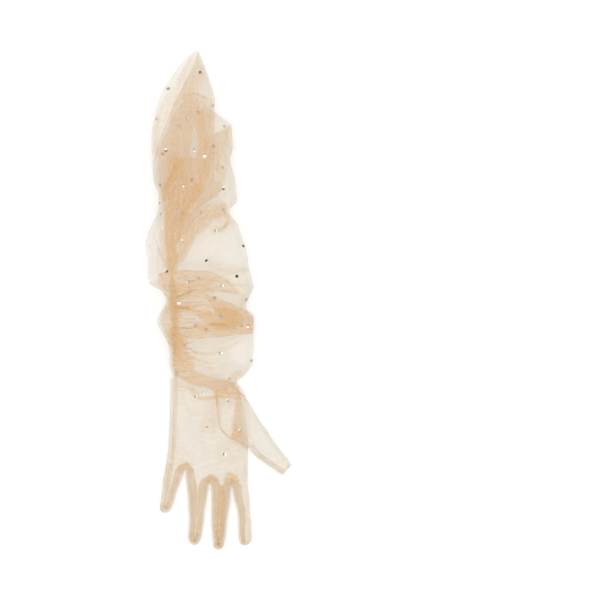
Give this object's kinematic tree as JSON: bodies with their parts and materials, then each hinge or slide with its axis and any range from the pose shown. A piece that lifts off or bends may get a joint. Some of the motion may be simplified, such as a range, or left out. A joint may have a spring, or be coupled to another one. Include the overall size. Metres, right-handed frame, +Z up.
{
  "type": "tulle glove",
  "caption": "Long sheer dress glove lying flat, with fingers, a set-in thumb, a ruched hollow sleeve, a peaked open end and scattered cut stones.",
  "frame": {"origin": "under the middle of the glove's bounding box, on the surface that it lies on", "axes": "+Y from the fingertips to the open end of the sleeve, +X to the thumb's side, +Z up from the surface"},
  "size_m": [0.1664, 0.57, 0.0348],
  "materials": {
    "tulle": "fine sheer net in warm beige, matt",
    "seam": "gathered and folded net, several layers, matt",
    "crystal": "clear cut crystal on a silver foil back"
  },
  "bodies": {
    "root": {"sleeve": "tulle", "hand": "tulle", "finger_little": "tulle", "finger_ring": "tulle", "finger_middle": "tulle", "finger_index": "tulle", "thumb": "tulle", "seam_little_ring": "seam", "seam_ring_middle": "seam", "seam_middle_index": "seam", "seam_outer_side": "seam", "seam_thumb": "seam", "seam_gathered": "seam", "stone_01": "crystal", "stone_02": "crystal", "stone_03": "crystal", "stone_04": "crystal", "stone_05": "crystal", "stone_06": "crystal", "stone_07": "crystal", "stone_08": "crystal", "stone_09": "crystal", "stone_10": "crystal", "stone_11": "crystal", "stone_12": "crystal", "stone_13": "crystal", "stone_14": "crystal", "stone_15": "crystal", "stone_16": "crystal", "stone_17": "crystal", "stone_18": "crystal", "stone_19": "crystal", "stone_20": "crystal", "stone_21": "crystal", "stone_22": "crystal", "stone_23": "crystal", "stone_24": "crystal", "stone_25": "crystal", "stone_26": "crystal", "stone_27": "crystal", "stone_28": "crystal", "stone_29": "crystal", "stone_30": "crystal", "stone_31": "crystal", "stone_32": "crystal", "stone_33": "crystal", "stone_34": "crystal", "stone_35": "crystal", "stone_36": "crystal", "stone_37": "crystal", "stone_38": "crystal", "stone_39": "crystal", "stone_40": "crystal", "stone_41": "crystal"}
  },
  "joints": []
}
